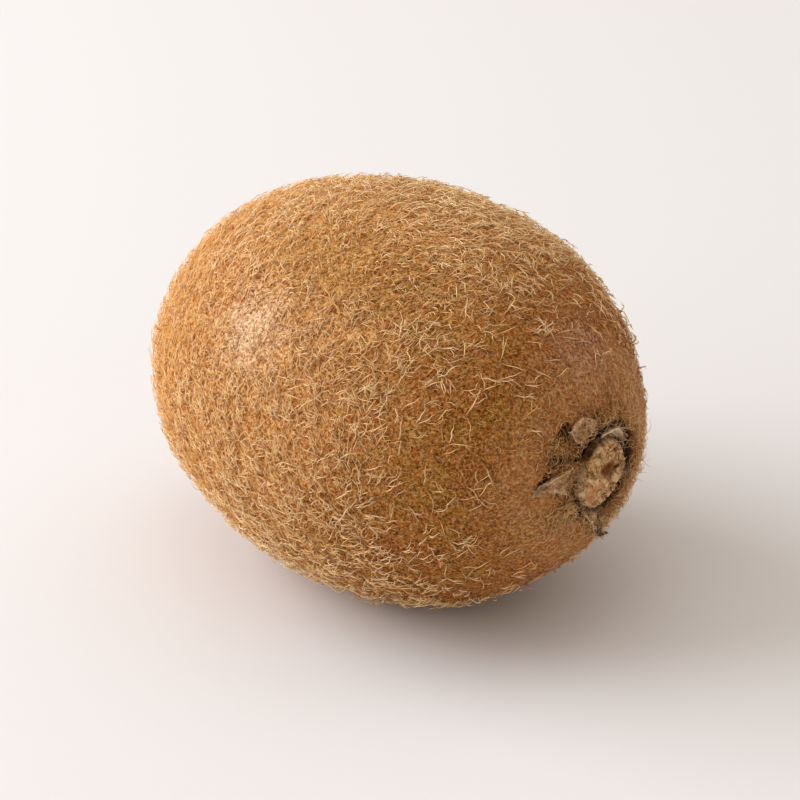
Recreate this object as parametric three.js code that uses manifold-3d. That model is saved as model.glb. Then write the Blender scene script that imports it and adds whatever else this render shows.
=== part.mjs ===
// A ripe kiwi fruit that lies on its side: the fruit, the woody button where its stalk broke off, the five
// dried sepals round that button, and the dried styles at the blossom end.
// Millimetres, +Z up. The long axis runs along X and the stalk end is at +X. The origin is on the surface
// that the fruit lies on, under the middle of the whole object.
import * as THREE from "three";
import { mergeVertices } from "three/addons/utils/BufferGeometryUtils.js";
import Module from "manifold-3d";

const wasm = await Module();
wasm.setup();

// Driving dimensions of the fruit.
const HALF_LENGTH = 32.1; // centre to either end of the plain oval
const HALF_WIDTH = 25.3; // along Y
const HALF_HEIGHT = 24.9; // along Z, before the flat spot
const FLAT_DEPTH = 0.7; // how much of the underside the flat spot takes away
const ROUND_STEPS = 60; // faces round the long axis
const FLANK_STEPS = 30; // faces from the stalk end's shoulder to the blossom end's

// The shallow seat at the stalk end, in which the button sits.
const SEAT_RADIUS = 4.9;
const SEAT_DEPTH = 2.4; // below the end of the plain oval
const SHOULDER_RADIUS = 7.6; // where the skin is back on the plain oval

// The small beak at the blossom end, which carries the styles.
const BEAK_TOP_RADIUS = 1.9;
const BEAK_HEIGHT = 0.8;
const BEAK_RADIUS = 6;

const GAP = 0.3; // left between pieces that touch

// The button, whose middle lies a little off the fruit's axis.
const BUTTON_SIDE = -0.55; // along Y
const BUTTON_UP = -0.2;
const BUTTON_RADIUS = 4.4;
const BUTTON_OVAL = 0.91; // its height as a share of its width
const BUTTON_HEIGHT = 2.1;
const BUTTON_TILT = 0.22; // how much lower its rim is on the far side, towards +Y, than in the middle
const PIT_RADIUS = 1.3;
const PIT_DEPTH = 1.1;

// The sepals, each at its angle round the button, with 0 towards -Y and 90 upwards. start is how far from
// the button's middle it begins, lift how far its tip curls off the skin, and lean how far the tip swings
// round the button. It narrows between the two shares of its length in waist.
const SEPAL_THICKNESS = 0.75;
const SEPAL_TIP_WIDTH = 0.2; // as a share of its width
const SEPALS = [
  {
    name: "sepal_front",
    angle: 20, start: 5.0, length: 5.2, width: 4.0, lift: 0.2, lean: -11, waist: [0, 0.9],
  },
  {
    name: "sepal_upper_front",
    angle: 61, start: 6.1, length: 2.4, width: 4.6, lift: 0.9, lean: -5, waist: [0.2, 1.2],
  },
  {
    name: "sepal_upper_back",
    angle: 126, start: 5.0, length: 1.6, width: 4.8, lift: 1.3, lean: 4, waist: [0.3, 1.3],
  },
  {
    name: "sepal_back",
    angle: 205, start: 5.0, length: 1.5, width: 3.6, lift: 0.0, lean: 0, waist: [0, 1],
  },
  {
    name: "sepal_lower",
    angle: 293, start: 5.0, length: 3.3, width: 7.4, lift: 0.8, lean: -33, waist: [0.1, 0.5],
  },
];

// The styles.
const TUFT_RADIUS = 1.5;
const TUFT_HEIGHT = 0.7;
const STYLE_COUNT = 12;
const STYLE_LENGTH = 2.2;
const STYLE_RADIUS = 0.28;

const skinColour = new THREE.MeshStandardMaterial({ color: 0x8a5f33, roughness: 0.75, metalness: 0 });
const woodColour = new THREE.MeshStandardMaterial({ color: 0x9c8059, roughness: 0.9, metalness: 0 });
const sepalColour = new THREE.MeshStandardMaterial({ color: 0x84694a, roughness: 0.9, metalness: 0 });
const styleColour = new THREE.MeshStandardMaterial({ color: 0x4a3423, roughness: 0.9, metalness: 0 });

const { smoothstep, degToRad } = THREE.MathUtils;

// Distance from the middle of the fruit to the plain oval's skin, at a distance from the axis.
function ovalReach(radius) {
  return HALF_LENGTH * Math.sqrt(Math.max(0, 1 - (radius / HALF_WIDTH) ** 2));
}

// The same for the stalk end with its seat. Inside the seat the skin is flat.
function stalkReach(radius) {
  const seat = HALF_LENGTH - SEAT_DEPTH;
  const onOval = smoothstep(radius, SEAT_RADIUS, SHOULDER_RADIUS);
  return seat + (ovalReach(radius) - seat) * onOval;
}

// The same for the blossom end with its beak, whose top is flat.
function blossomReach(radius) {
  const beak = HALF_LENGTH + BEAK_HEIGHT;
  const onOval = smoothstep(radius, BEAK_TOP_RADIUS, BEAK_RADIUS);
  return beak + (ovalReach(radius) - beak) * onOval;
}

// A share of the way round the oval's quarter, as a distance from the axis.
function radii(from, to, steps) {
  const low = Math.asin(from / HALF_WIDTH);
  const high = Math.asin(to / HALF_WIDTH);
  return Array.from({ length: steps + 1 }, (_, i) => HALF_WIDTH * Math.sin(low + ((high - low) * i) / steps));
}

// Slow swells that keep the fruit from being a perfect oval. They fade out towards both ends.
function swell(along, around) {
  const waist = 1 - along * along;
  const sideways = 0.007 * Math.cos(2 * around + 0.9) + 0.005 * Math.cos(3 * around - 0.4 + 1.7 * along);
  const lengthways = 0.012 * along - 0.006 * Math.cos(4.2 * along + 0.5);
  return 1 + waist * waist * (sideways + lengthways);
}

function bodyGeometry() {
  const half = FLANK_STEPS / 2;
  const seat = [0, 0.6, 1].map((share) => share * SEAT_RADIUS);
  const stalk = [...seat, ...radii(SEAT_RADIUS, SHOULDER_RADIUS, 4).slice(1)];
  const beak = [0, 1].map((share) => share * BEAK_TOP_RADIUS);
  const blossom = [...beak, ...radii(BEAK_TOP_RADIUS, BEAK_RADIUS, 4).slice(1)];
  const stalkFlank = radii(SHOULDER_RADIUS, HALF_WIDTH, half).slice(1);
  const blossomFlank = radii(BEAK_RADIUS, HALF_WIDTH, half).slice(1, -1);
  const profile = [
    ...[...blossom, ...blossomFlank].map((r) => new THREE.Vector2(r, -blossomReach(r))),
    ...[...stalk, ...stalkFlank].reverse().map((r) => new THREE.Vector2(r, stalkReach(r))),
  ];
  const geometry = new THREE.LatheGeometry(profile, ROUND_STEPS);
  geometry.rotateZ(-Math.PI / 2);
  const place = geometry.attributes.position;
  for (let i = 0; i < place.count; i++) {
    const [x, y, z] = [place.getX(i), place.getY(i), place.getZ(i)];
    const grown = swell(x / HALF_LENGTH, Math.atan2(z, y));
    place.setXYZ(i, x, y * grown, z * grown * (HALF_HEIGHT / HALF_WIDTH));
  }
  return geometry;
}

// A closed geometry as a solid that can be cut and joined, and back.
function toSolid(geometry) {
  const bare = geometry.clone();
  bare.deleteAttribute("normal");
  bare.deleteAttribute("uv");
  const merged = mergeVertices(bare, 1e-3);
  const vertProperties = merged.attributes.position.array;
  const triVerts = new Uint32Array(merged.index.array);
  return new wasm.Manifold(new wasm.Mesh({ numProp: 3, vertProperties, triVerts }));
}

function toGeometry(solid) {
  const { vertProperties, triVerts } = solid.getMesh();
  const geometry = new THREE.BufferGeometry();
  geometry.setAttribute("position", new THREE.BufferAttribute(vertProperties, 3));
  geometry.setIndex(new THREE.BufferAttribute(triVerts, 1));
  return geometry;
}

// A closed outline of [distance from the axis, height] pairs, turned round the axis.
function turned(outline, steps) {
  return new THREE.LatheGeometry(
    outline.map(([radius, height]) => new THREE.Vector2(radius, height)),
    steps,
  );
}

// The fruit, with the flat spot it lies on cut off its underside.
function fruitBody() {
  const body = bodyGeometry();
  body.computeBoundingBox();
  const floor = body.boundingBox.min.z + FLAT_DEPTH;
  const below = new THREE.BoxGeometry(3 * HALF_LENGTH, 3 * HALF_WIDTH, HALF_HEIGHT);
  below.translate(0, 0, floor - HALF_HEIGHT / 2);
  return { geometry: toGeometry(toSolid(body).subtract(toSolid(below))), floor };
}

// The button: a stout disc with a rounded rim, a low ring and a pit in the middle, all a little out of round.
function stemButton() {
  const base = stalkReach(0) + GAP;
  const top = base + BUTTON_HEIGHT;
  const outline = [
    [0, base],
    [BUTTON_RADIUS * 0.9, base],
    [BUTTON_RADIUS, base + 0.35],
    [BUTTON_RADIUS * 1.02, top - 0.75],
    [BUTTON_RADIUS * 0.94, top - 0.2],
    [BUTTON_RADIUS * 0.8, top],
    [BUTTON_RADIUS * 0.64, top - 0.3],
    [BUTTON_RADIUS * 0.5, top - 0.1],
    [PIT_RADIUS * 1.1, top - 0.35],
    [PIT_RADIUS * 0.7, top - PIT_DEPTH],
    [0, top - PIT_DEPTH - 0.15],
  ];
  const geometry = turned(outline, 32);
  geometry.rotateZ(-Math.PI / 2);
  const place = geometry.attributes.position;
  for (let i = 0; i < place.count; i++) {
    const [x, y, z] = [place.getX(i), place.getY(i), place.getZ(i)];
    const around = Math.atan2(z, y);
    const wobble = 1 + 0.03 * Math.cos(2 * around + 0.5) + 0.025 * Math.cos(5 * around);
    const uneven = 0.14 * Math.sin(3 * around + 1) * (Math.hypot(y, z) / BUTTON_RADIUS);
    const tilt = -BUTTON_TILT * (y / BUTTON_RADIUS);
    const raised = x > base + 1 ? uneven + tilt : 0;
    place.setXYZ(i, x + raised, y * wobble + BUTTON_SIDE, z * wobble * BUTTON_OVAL + BUTTON_UP);
  }
  return geometry;
}

// A point over the stalk end's skin: how far and which way from the button's middle, and how high above.
function overStalkEnd(distance, way, height) {
  const y = BUTTON_SIDE - distance * Math.cos(way);
  const z = BUTTON_UP + distance * Math.sin(way);
  const radius = Math.hypot(y, z);
  const around = Math.atan2(z, -y);
  const step = 0.05;
  const slope = (stalkReach(radius + step) - stalkReach(radius - step)) / (2 * step);
  const upright = new THREE.Vector2(1, -slope).normalize();
  const reach = stalkReach(radius) + upright.x * height;
  const out = radius + upright.y * height;
  return new THREE.Vector3(reach, -out * Math.cos(around), out * Math.sin(around));
}

// A sepal: a ball flattened into a pointed leaf and laid over the shoulder of the stalk end.
function sepalGeometry({ angle, start, length, width, lift, lean, waist }) {
  const geometry = new THREE.SphereGeometry(1, 16, 12);
  const place = geometry.attributes.position;
  for (let i = 0; i < place.count; i++) {
    const [along, up, across] = [(1 + place.getX(i)) / 2, (1 + place.getY(i)) / 2, place.getZ(i)];
    const distance = start + length * along;
    const narrowed = 1 - (1 - SEPAL_TIP_WIDTH) * smoothstep(along, ...waist);
    const side = (across * width * narrowed) / 2;
    const way = degToRad(angle + lean * along * along) + side / distance;
    const cup = 0.35 * across * across * (1 - along);
    const height = GAP * 1.4 + lift * along ** 2 + cup + SEPAL_THICKNESS * up * (1 - 0.35 * along);
    const point = overStalkEnd(distance, way, height);
    place.setXYZ(i, point.x, point.y, point.z);
  }
  return geometry;
}

// The dried styles: a low dome with a crown of thin spikes that lean outwards.
function styleTuft() {
  const base = -blossomReach(0) - GAP;
  const outline = [
    [0, 0],
    [TUFT_RADIUS, 0],
    [TUFT_RADIUS * 0.9, TUFT_HEIGHT * 0.6],
    [TUFT_RADIUS * 0.5, TUFT_HEIGHT],
    [0, TUFT_HEIGHT],
  ];
  let tuft = toSolid(turned(outline, 16));
  for (let i = 0; i < STYLE_COUNT; i++) {
    const inner = i % 3 === 0;
    const spike = new THREE.ConeGeometry(STYLE_RADIUS, STYLE_LENGTH * (inner ? 0.8 : 1), 6);
    spike.translate(0, STYLE_LENGTH * 0.42, 0);
    spike.rotateZ(degToRad(inner ? -22 : -48 - 6 * Math.cos(2.3 * i)));
    spike.translate(inner ? 0.35 : 0.8, 0.15, 0);
    spike.rotateY((2 * Math.PI * i) / STYLE_COUNT);
    tuft = tuft.add(toSolid(spike));
  }
  const geometry = toGeometry(tuft);
  geometry.rotateZ(Math.PI / 2);
  geometry.translate(base, 0, 0);
  return geometry;
}

function node(name, geometry, material) {
  const mesh = new THREE.Mesh(geometry, material);
  mesh.name = name;
  return mesh;
}

const fruit = fruitBody();
const kiwi = new THREE.Group();
kiwi.add(node("fruit_body", fruit.geometry, skinColour));
kiwi.add(node("stem_button", stemButton(), woodColour));
for (const sepal of SEPALS) kiwi.add(node(sepal.name, sepalGeometry(sepal), sepalColour));
kiwi.add(node("style_tuft", styleTuft(), styleColour));

// The finished fruit moves so that it stands on Z = 0, and the origin is under the middle of the whole.
const box = new THREE.Box3().setFromObject(kiwi, true);
kiwi.position.set(-(box.min.x + box.max.x) / 2, -(box.min.y + box.max.y) / 2, -fruit.floor);

export default kiwi;
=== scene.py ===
"""A ripe kiwi fruit that lies on its side: lumpy skin, a coat of fine hairs, the woody stalk button in its
seat, the dried sepals round it, and the dried styles at the blossom end."""
import math
from contextlib import contextmanager

import bpy
import numpy as np
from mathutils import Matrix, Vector, noise
from mathutils.bvhtree import BVHTree


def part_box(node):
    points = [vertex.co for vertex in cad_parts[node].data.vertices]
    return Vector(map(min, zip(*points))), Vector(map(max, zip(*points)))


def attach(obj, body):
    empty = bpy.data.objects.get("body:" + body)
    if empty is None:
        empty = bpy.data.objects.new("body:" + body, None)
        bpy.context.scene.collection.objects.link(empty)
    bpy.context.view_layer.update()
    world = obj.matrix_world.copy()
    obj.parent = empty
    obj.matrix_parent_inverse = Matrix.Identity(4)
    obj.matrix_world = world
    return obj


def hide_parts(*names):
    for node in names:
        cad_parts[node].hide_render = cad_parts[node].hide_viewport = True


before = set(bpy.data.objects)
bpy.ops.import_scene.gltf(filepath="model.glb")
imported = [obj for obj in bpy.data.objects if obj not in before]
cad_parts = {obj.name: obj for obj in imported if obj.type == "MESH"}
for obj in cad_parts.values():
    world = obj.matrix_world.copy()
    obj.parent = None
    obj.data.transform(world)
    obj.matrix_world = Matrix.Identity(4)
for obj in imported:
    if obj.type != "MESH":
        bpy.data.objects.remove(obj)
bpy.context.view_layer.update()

MM = 0.001
BODY = "root"

# The fruit's own measures, from the frame. Its long axis runs along X, a little above the styles' middle.
BODY_LOW, BODY_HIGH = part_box("fruit_body")
BUTTON_LOW, BUTTON_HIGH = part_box("stem_button")
TUFT_LOW, TUFT_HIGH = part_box("style_tuft")
AXIS = (TUFT_LOW.z + TUFT_HIGH.z) / 2 + 0.15 * MM
HALF_WIDTH = (BODY_HIGH.y - BODY_LOW.y) / 2

# The button's middle lies a little off the axis, and the seat round it a little off the other way.
BUTTON_RADIUS = (BUTTON_HIGH.y - BUTTON_LOW.y) / 2
BUTTON_SIDE = (BUTTON_LOW.y + BUTTON_HIGH.y) / 2 - 0.3 * MM
BUTTON_UP = (BUTTON_LOW.z + BUTTON_HIGH.z) / 2
BUTTON_OVAL = (BUTTON_HIGH.z - BUTTON_LOW.z) / (BUTTON_HIGH.y - BUTTON_LOW.y)
SEAT_EDGE = BUTTON_RADIUS * 1.29
SEAT_SIDE, SEAT_UP = 0.1 * MM, AXIS - 0.25 * MM


# ------------ Shader maths ------------

class Wire:
    """An output of a shader node. Arithmetic on it adds Math nodes."""

    def __init__(self, shader, socket):
        self.shader, self.socket = shader, socket

    def maths(self, operation, *values):
        return self.shader.add("Math", {"operation": operation}, dict(enumerate(values)))

    def __add__(self, other):
        return self.maths("ADD", self, other)

    def __sub__(self, other):
        return self.maths("SUBTRACT", self, other)

    def __rsub__(self, other):
        return self.maths("SUBTRACT", other, self)

    def __mul__(self, other):
        return self.maths("MULTIPLY", self, other)

    def __truediv__(self, other):
        return self.maths("DIVIDE", self, other)

    __radd__ = __add__
    __rmul__ = __mul__

    def between(self, low, high):
        """0 below low, 1 above high, and a smooth rise from one to the other."""
        inputs = {"Value": self, "From Min": low, "From Max": high}
        return self.shader.add("MapRange", {"interpolation_type": "SMOOTHSTEP"}, inputs)


class Shader:
    """A new material with one Principled shader."""

    def __init__(self, name):
        self.material = bpy.data.materials.new(name)
        self.material.use_nodes = True
        self.tree = self.material.node_tree
        self.surface = self.tree.nodes["Principled BSDF"]

    def add(self, kind, settings=None, inputs=None, output=0):
        node = self.tree.nodes.new("ShaderNode" + kind)
        for key, value in (settings or {}).items():
            setattr(node, key, value)
        self.feed(node, inputs or {})
        return Wire(self, node.outputs[output])

    def feed(self, node, inputs):
        for key, value in inputs.items():
            if isinstance(value, Wire):
                self.tree.links.new(value.socket, node.inputs[key])
            else:
                node.inputs[key].default_value = value

    def finish(self, **inputs):
        """Sets the Principled shader's sockets, named with _ for a space, and gives the material."""
        self.feed(self.surface, {key.replace("_", " "): value for key, value in inputs.items()})
        return self.material

    def place(self):
        return self.add("TexCoord", output="Object")

    def axis(self, name, vector=None):
        """The X, Y or Z of a vector, or of the place."""
        return self.add("SeparateXYZ", {}, {"Vector": vector or self.place()}, output=name)

    def vectors(self, operation, first, second=(0, 0, 0), output=0):
        return self.add("VectorMath", {"operation": operation}, {0: first, 1: second}, output)

    def from_line(self, side, up):
        """How far a place is from a line that runs along X."""
        across = self.vectors("MULTIPLY", self.vectors("SUBTRACT", self.place(), (0, side, up)), (0, 1, 1))
        return self.vectors("LENGTH", across, output="Value")

    def golden_and_lit(self):
        """1 on the paler side of the fruit, towards the blossom end and the top, and 0 on the other. The
        paleness is partly the coat's own tone and partly painted light.
        """
        return 1 - (self.axis("X") - (self.axis("Z") - AXIS) * GOLDEN_LEAN).between(*GOLDEN_RANGE)

    def near(self, place, inner, outer):
        """1 within the inner distance of a place and 0 beyond the outer one."""
        return 1 - self.vectors("DISTANCE", self.place(), place, "Value").between(inner, outer)

    def olive_patch(self):
        """1 in the middle of the long patch of short olive hairs, and 0 outside it."""
        squashed = self.vectors("MULTIPLY", self.vectors("SUBTRACT", self.place(), OLIVE_PLACE), OLIVE_SHAPE)
        return 1 - self.vectors("LENGTH", squashed, output="Value").between(*OLIVE_RANGE)

    def mark(self, side, up, width, ragged=0.0):
        """1 inside a round mark on the stalk end, placed in millimetres off the axis, and 0 outside it."""
        away = self.from_line(side * MM, up * MM + AXIS) + ragged
        return 1 - away.between(width * 0.55 * MM, width * 1.15 * MM)

    def noise(self, scale, detail=3.0, roughness=0.55, distortion=0.0):
        inputs = {"Vector": self.place(), "Scale": scale, "Detail": detail}
        inputs |= {"Roughness": roughness, "Distortion": distortion}
        return self.add("TexNoise", {}, inputs)

    def mix(self, share, first, second):
        """The first colour at a share of 0 and the second at 1."""
        return self.add("Mix", {"data_type": "RGBA"}, {0: share, 6: first, 7: second}, output=2)

    def ramp(self, share, *stops):
        """A colour for each share. A stop is a share, and its colour's red, green and blue for paint."""
        ramp = self.add("ValToRGB", {}, {"Fac": share})
        elements = ramp.socket.node.color_ramp.elements
        while len(elements) < len(stops):
            elements.new(0.5)
        for element, (place, *colour) in zip(elements, stops):
            element.position, element.color = place, paint(*colour)
        return ramp

    def bump(self, height, strength, distance):
        inputs = {"Height": height, "Strength": strength, "Distance": distance}
        return self.add("Bump", {}, inputs, output="Normal")


def paint(red, green, blue):
    """A colour as a screen shows it, 0 to 255, as the linear colour that a shader takes."""
    def linear(level):
        level /= 255
        return level / 12.92 if level <= 0.04045 else ((level + 0.055) / 1.055) ** 2.4
    return (linear(red), linear(green), linear(blue), 1.0)


# ------------ Modelling helpers ------------

def smoothstep(value, low, high):
    share = np.clip((value - low) / (high - low), 0, 1)
    return share * share * (3 - 2 * share)


def pick(thing):
    """Makes one object the only selected one, and the active one."""
    bpy.ops.object.select_all(action="DESELECT")
    thing.select_set(True)
    bpy.context.view_layer.objects.active = thing


@contextmanager
def editing(thing):
    """Opens one object's mesh for editing, with all of it selected at first."""
    pick(thing)
    bpy.ops.object.mode_set(mode="EDIT")
    bpy.ops.mesh.select_all(action="SELECT")
    yield
    bpy.ops.object.mode_set(mode="OBJECT")


def new_form(name, operator, **settings):
    """A new object with a simple form, from the operator that makes it."""
    bpy.ops.object.select_all(action="DESELECT")
    operator(**settings)
    bpy.context.object.name = name
    return bpy.context.object


def new_object(name, data):
    thing = bpy.data.objects.new(name, data)
    bpy.context.scene.collection.objects.link(thing)
    return thing


def copy_of_node(node, name):
    """A CAD node's shape as a new object, with its loose triangles joined."""
    piece = new_object(name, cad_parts[node].data.copy())
    piece.data.materials.clear()
    with editing(piece):
        bpy.ops.mesh.remove_doubles(threshold=0.01 * MM)
        bpy.ops.mesh.customdata_custom_splitnormals_clear()
    return piece


def apply(piece, kind, **settings):
    """Adds a modifier, sets it and applies it."""
    pick(piece)
    modifier = piece.modifiers.new(kind, kind)
    for key, value in settings.items():
        setattr(modifier, key, value)
    bpy.ops.object.modifier_apply(modifier=modifier.name)


def roughen(piece, size, strength):
    """Pushes the surface in and out by a cloudy pattern of that size."""
    clouds = bpy.data.textures.new(piece.name + "_clouds", "CLOUDS")
    clouds.noise_scale = size
    clouds.noise_depth = 2
    apply(piece, "DISPLACE", texture=clouds, texture_coords="LOCAL", mid_level=0.5, strength=strength)


def points_of(mesh, what="co"):
    """Where a mesh's points are, or their normals, as rows of three."""
    rows = np.empty(len(mesh.vertices) * 3)
    mesh.vertices.foreach_get(what, rows)
    return rows.reshape(-1, 3)


def move_points(mesh, points):
    mesh.vertices.foreach_set("co", points.ravel())
    mesh.update()


def triangles_of(mesh):
    mesh.calc_loop_triangles()
    corners = np.empty(len(mesh.loop_triangles) * 3, int)
    mesh.loop_triangles.foreach_get("vertices", corners)
    return corners.reshape(-1, 3)


def new_piece(name, points, triangles):
    mesh = bpy.data.meshes.new(name)
    mesh.vertices.add(len(points))
    mesh.vertices.foreach_set("co", points.ravel())
    mesh.loops.add(triangles.size)
    mesh.loops.foreach_set("vertex_index", triangles.ravel())
    mesh.polygons.add(len(triangles))
    mesh.polygons.foreach_set("loop_start", np.arange(0, triangles.size, 3))
    mesh.polygons.foreach_set("use_smooth", np.ones(len(triangles), bool))
    mesh.update(calc_edges=True)
    return new_object(name, mesh)


def settle(piece, material, slot, *nodes):
    """Gives a finished piece its material and its place in the frame."""
    piece.data.materials.clear()
    piece.data.materials.append(material)
    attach(piece, BODY)
    if nodes:
        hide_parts(*nodes)


# ------------ Skin ------------

SKIN_GRAIN = 0.55 * MM
FINE_END = 11 * MM  # how far from the axis the stalk end has a finer grain
SEAT_FLOOR = BUTTON_LOW.x - 0.6 * MM

# Hollows in the skin beside the sepals, as how far to the side of the axis, how far above it, and how wide
# and how deep, in millimetres.
HOLLOWS = [
    (-4.5, 4.6, 0.8, 0.8), (-6.1, 6.0, 0.8, 0.9), (-5.5, 6.9, 0.6, 0.7), (-6.4, 3.6, 0.85, 0.9),
    (-7.9, 3.6, 0.8, 0.9), (-8.7, 1.9, 0.75, 0.9), (-8.3, 2.7, 0.5, 0.8), (-9.7, 1.1, 0.45, 0.7),
    (-7.1, -0.5, 0.8, 1.1), (-5.4, -1.9, 0.8, 0.7), (-4.8, -4.3, 0.75, 0.8), (-1.0, 6.6, 0.6, 0.6),
]

# The coat is paler on one side, partly by its own tone and partly by painted light: a plane that leans this
# much, and the stretch over which it changes.
GOLDEN_LEAN = 0.4
GOLDEN_RANGE = (1 * MM, 24 * MM)

# The middle of a long patch of short olive hairs, its shares of a ball's size, and where it fades.
OLIVE_PLACE = (5.5 * MM, -12.0 * MM, 45.7 * MM)
OLIVE_SHAPE = (0.45, 1, 1)
OLIVE_RANGE = (3.5 * MM, 8.5 * MM)

# The middles of two smooth patches where the coat is worn thin and the skin shines, and where the skin's
# colour carries a painted highlight.
WORN_SHEEN_PLACE = (-4.0 * MM, -20.6 * MM, 38.1 * MM)
SHOULDER_SHEEN_PLACE = (28.0 * MM, 1.0 * MM, 37.5 * MM)


def skin_material():
    shader = Shader("kiwi_skin")
    patches = shader.noise(110, detail=2)
    fuzz = shader.noise(2800, detail=4, roughness=0.75)
    flecks = shader.noise(1900, detail=2, distortion=1.2)
    brown = shader.ramp(fuzz, (0.38, 78, 36, 2), (0.5, 152, 92, 30), (0.64, 214, 152, 88))
    olive = shader.ramp(fuzz, (0.38, 78, 46, 2), (0.5, 152, 104, 32), (0.64, 208, 158, 82))
    rosy = shader.ramp(fuzz, (0.34, 112, 66, 30), (0.5, 176, 120, 72), (0.66, 230, 176, 128))
    pale = shader.ramp(fuzz, (0.38, 104, 56, 14), (0.5, 200, 138, 66), (0.62, 248, 204, 144))
    colour = shader.mix(patches.between(0.4, 0.62), brown, olive)
    x = shader.axis("X")
    colour = shader.mix(x.between(25 * MM, 30 * MM) * 0.65, colour, rosy)
    # Paler towards the blossom end and the top: partly the skin's own tone, partly painted light.
    colour = shader.mix(shader.golden_and_lit() * 0.85, colour, pale)
    colour = shader.mix(shader.olive_patch() * 0.6, colour, olive)
    colour = shader.mix(flecks.between(0.58, 0.7) * 0.75, colour, paint(198, 92, 34))
    pink = shader.noise(1500, detail=2).between(0.56, 0.7) * 0.4
    colour = shader.mix(pink, colour, paint(206, 160, 132))
    patchy_sheen = 0.35 + fuzz.between(0.42, 0.58) * 0.65
    worn_and_sheen = shader.near(WORN_SHEEN_PLACE, 1 * MM, 8 * MM) * patchy_sheen
    shoulder_sheen = shader.near(SHOULDER_SHEEN_PLACE, 1 * MM, 8 * MM) * patchy_sheen
    # The worn patch is painted paler as a painted highlight, and the shoulder patch pinker as a painted
    # reflection, besides the coat's real gloss.
    colour = shader.mix(worn_and_sheen * 0.6, colour, paint(242, 210, 172))
    colour = shader.mix(shoulder_sheen * 0.4, colour, paint(214, 160, 128))
    # The seat and the hollows at the stalk end are painted nearly black inside, as painted shade, and the
    # skin round them is paler.
    at_end = x.between(25 * MM, 28 * MM)
    round_seat = 1 - shader.from_line(0, AXIS).between(9 * MM, 14 * MM)
    colour = shader.mix(at_end * round_seat * 0.12, colour, paint(240, 180, 116))
    dark = 1 - shader.from_line(SEAT_SIDE, SEAT_UP).between(SEAT_EDGE * 1.0, SEAT_EDGE * 1.09)
    ragged = (shader.noise(1300, detail=2) - 0.5) * (1.6 * MM)
    for side, up, width, _ in HOLLOWS:
        dark = dark + shader.mark(side, up, width * 1.15, ragged)
    colour = shader.mix(dark.maths("MINIMUM", dark, 1.0) * at_end * 0.93, colour, paint(44, 27, 14))
    normal = shader.bump(fuzz, 0.7, 0.12 * MM)
    shine = worn_and_sheen * 0.12 + shoulder_sheen * 0.15
    return shader.finish(
        Base_Color=colour, Roughness=0.5, Specular_IOR_Level=0.15, Coat_Weight=shine, Coat_Roughness=0.35,
        Normal=normal)


def make_skin():
    """The fruit's surface, lumpy in a slow and a fine way."""
    skin = copy_of_node("fruit_body", "skin")
    apply(skin, "REMESH", mode="VOXEL", voxel_size=SKIN_GRAIN, use_smooth_shade=True)
    apply(skin, "SMOOTH", factor=0.5, iterations=8)
    bpy.ops.object.mode_set(mode="EDIT")
    bpy.ops.mesh.select_all(action="DESELECT")
    bpy.ops.object.mode_set(mode="OBJECT")
    middle = np.array([polygon.center for polygon in skin.data.polygons])
    at_end = (middle[:, 0] > 0) & (np.hypot(middle[:, 1], middle[:, 2] - AXIS) < FINE_END)
    skin.data.polygons.foreach_set("select", at_end)
    bpy.ops.object.mode_set(mode="EDIT")
    bpy.ops.mesh.subdivide(number_cuts=1)
    bpy.ops.object.mode_set(mode="OBJECT")
    roughen(skin, size=8 * MM, strength=0.45 * MM)
    roughen(skin, size=1.3 * MM, strength=0.10 * MM)
    bpy.ops.object.shade_smooth()
    settle(skin, skin_material(), "skin", "fruit_body")
    return skin


def past_seat(points):
    """How far points are outside the seat's edge, across the axis. Those in the seat are below 0."""
    y, z = points[:, 1] - SEAT_SIDE, points[:, 2] - SEAT_UP
    return np.hypot(y, z) - SEAT_EDGE * (1 + 0.02 * np.cos(5 * np.arctan2(z, y)))


def sink_seat(mesh):
    """Gives the seat a steep edge with a raised lip, and presses the hollows into the skin."""
    points = points_of(mesh)
    y, z = points[:, 1], points[:, 2] - AXIS
    past_edge = past_seat(points)
    at_end = points[:, 0] > BODY_HIGH.x - 6 * MM
    inside = (1 - smoothstep(past_edge, -0.3 * MM, 0.1 * MM)) * at_end
    points[:, 0] += (np.minimum(SEAT_FLOOR, points[:, 0]) - points[:, 0]) * inside
    points[:, 0] += 0.2 * MM * np.exp(-((past_edge / MM - 0.6) / 0.6) ** 2) * at_end
    for side, up, width, depth in HOLLOWS:
        away = np.hypot(y / MM - side, z / MM - up) / width
        points[:, 0] -= depth * MM * np.exp(-away**3) * at_end
    move_points(mesh, points)


# ------------ Hairs ------------

ROOT_DEPTH = 0.08 * MM  # how far under the skin a hair starts
FLOOR_GAP = 0.15 * MM  # how far over the floor the lowest ones stay
HAIR_MAP = "OFBake"
ROOT_U, TIP_U = 0.02, 0.08  # the stretch of the map that runs from a hair's root to its tip
SIDE_U, SIDE_V = 0.002, 0.0015  # how far the sides of a hair lie apart on the map

# The hairs' colours, as stops for ramp.
GOLDEN = [
    (0.05, 86, 46, 12), (0.22, 160, 92, 30), (0.33, 208, 108, 36), (0.42, 218, 138, 46),
    (0.54, 236, 166, 76), (0.75, 250, 198, 122), (0.95, 255, 222, 168),
]
TAN = [(0.1, 120, 82, 50), (0.5, 214, 174, 134), (0.9, 252, 226, 190)]
BROWN = [(0.05, 70, 42, 16), (0.5, 176, 122, 66), (0.95, 246, 200, 142)]


def hair_material(name, tones, root_colour, gloss=0.15):
    """Each hair's tone is its place across its map, and its root has a colour of its own."""
    shader = Shader(name)
    place = shader.add("UVMap", {"uv_map": HAIR_MAP}, output="UV")
    along, tone = shader.axis("X", place), shader.axis("Y", place)
    share = (along - ROOT_U) / (TIP_U - ROOT_U)
    colour = shader.mix((1 - share.between(0.0, 0.45)) * 0.65, shader.ramp(tone, *tones), root_colour)
    return shader.finish(Base_Color=colour, Roughness=0.42, Specular_IOR_Level=gloss)


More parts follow.
